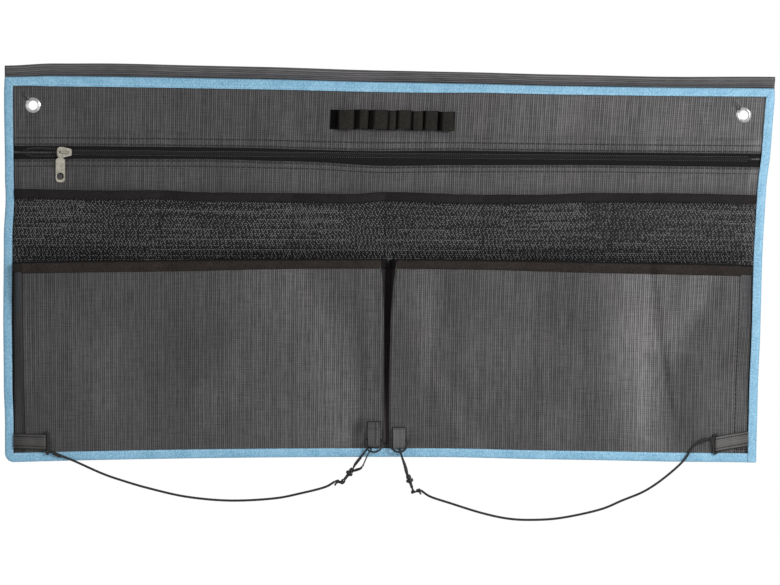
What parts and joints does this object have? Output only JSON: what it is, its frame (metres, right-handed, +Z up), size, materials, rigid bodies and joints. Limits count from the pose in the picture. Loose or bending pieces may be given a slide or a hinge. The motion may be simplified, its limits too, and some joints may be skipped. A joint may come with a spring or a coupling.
{
  "type": "tent organizer",
  "caption": "Hanging fabric organizer for a tent or awning rail, with zip pocket, elastic loops, net pockets, lower pockets and cords with snap hooks.",
  "frame": {"origin": "middle of the rail bead's axis", "axes": "+X to the right as seen from the front, +Y out of the back, +Z up; the front faces -Y"},
  "size_m": [1, 0.0305, 0.5923],
  "materials": {
    "ribbed_fabric": "coated woven polyester, dark grey with fine upright stripes",
    "black_fabric": "plain black woven polyester",
    "net": "black knitted net",
    "hem_tape": "dark brown-black folded tape",
    "binding": "light blue folded binding tape",
    "elastic": "black woven elastic",
    "bead": "smooth black plastic",
    "zip_coil": "black nylon coil",
    "zip_metal": "nickel plated zinc",
    "eyelet": "nickel plated steel",
    "black_metal": "black plated steel",
    "cord": "black braided elastic cord"
  },
  "bodies": {
    "panel": {"rail_strip": "ribbed_fabric", "rail_bead": "bead", "edge_binding": "binding", "back_panel": "ribbed_fabric", "header_panel": "ribbed_fabric", "lower_panel": "ribbed_fabric", "eyelet_left": "eyelet", "washer_left": "eyelet", "eyelet_right": "eyelet", "washer_right": "eyelet", "elastic_loops": "elastic", "zip_tape_upper": "black_fabric", "zip_coil_upper": "zip_coil", "zip_tape_lower": "black_fabric", "zip_coil_lower": "zip_coil", "mesh_strip": "net", "mesh_hem": "black_fabric", "pocket_left_front": "ribbed_fabric", "pocket_left_hem": "hem_tape", "pocket_left_gusset_inner": "black_fabric", "pocket_left_gusset_outer": "black_fabric", "pocket_right_front": "ribbed_fabric", "pocket_right_hem": "hem_tape", "pocket_right_gusset_inner": "black_fabric", "pocket_right_gusset_outer": "ribbed_fabric", "tab_corner_left": "ribbed_fabric", "cord_anchor_left": "cord", "tab_corner_right": "ribbed_fabric", "cord_anchor_right": "cord", "tab_centre_left": "ribbed_fabric", "ring_left": "black_metal", "tab_centre_right": "ribbed_fabric", "ring_right": "black_metal"},
    "slider": {"zip_slider": "zip_metal"},
    "pull": {"zip_pull": "zip_metal"},
    "swag_left": {"cord_left": "cord", "cord_tie_left": "cord", "hook_left_swivel": "black_metal"},
    "hook_left": {"hook_left_frame": "black_metal"},
    "gate_left": {"hook_left_gate": "black_metal"},
    "swag_right": {"cord_right": "cord", "cord_tie_right": "cord", "hook_right_swivel": "black_metal"},
    "hook_right": {"hook_right_frame": "black_metal"},
    "gate_right": {"hook_right_gate": "black_metal"}
  },
  "joints": [
    {"name": "zip_slide", "type": "slide", "parent": "panel", "child": "slider", "axis": [1, 0, -0.0095], "range_m": [-0.044, 0.868], "deforming": ["zip_coil_upper", "zip_coil_lower"]},
    {"name": "pull_swing", "type": "hinge", "parent": "slider", "child": "pull", "pos_m": [-0.42743, -0.0053, -0.10249], "axis": [0, 1, 0], "range_deg": [-45, 200]},
    {"name": "cord_left_swing", "type": "hinge", "parent": "panel", "child": "swag_left", "pos_m": [-0.44069, -0.00779, -0.4918], "axis": [-0.9999, 0.0135, -0.0074], "range_deg": [-3, 110]},
    {"name": "hook_left_turn", "type": "hinge", "parent": "swag_left", "child": "hook_left", "pos_m": [-0.06106, -0.01157, -0.52932], "axis": [0.6157, 0, 0.788], "range_deg": [-20, 5]},
    {"name": "gate_left_press", "type": "hinge", "parent": "hook_left", "child": "gate_left", "pos_m": [-0.03496, -0.02238, -0.50821], "axis": [-0.6455, -0.5736, 0.5043], "range_deg": [0, 20], "stiffness_Nm_per_rad": 0.02, "springref_deg": -11.46},
    {"name": "cord_right_swing", "type": "hinge", "parent": "panel", "child": "swag_right", "pos_m": [0.41405, -0.0083, -0.47375], "axis": [-0.999, -0.0147, -0.043], "range_deg": [-3, 110]},
    {"name": "hook_right_turn", "type": "hinge", "parent": "swag_right", "child": "hook_right", "pos_m": [0.02965, -0.012, -0.54087], "axis": [-0.309, 0, 0.9511], "range_deg": [-30, 30]},
    {"name": "gate_right_press", "type": "hinge", "parent": "hook_right", "child": "gate_right", "pos_m": [0.01867, -0.02516, -0.51006], "axis": [-0.9487, 0.0698, -0.3083], "range_deg": [0, 20], "stiffness_Nm_per_rad": 0.02, "springref_deg": -11.46}
  ]
}
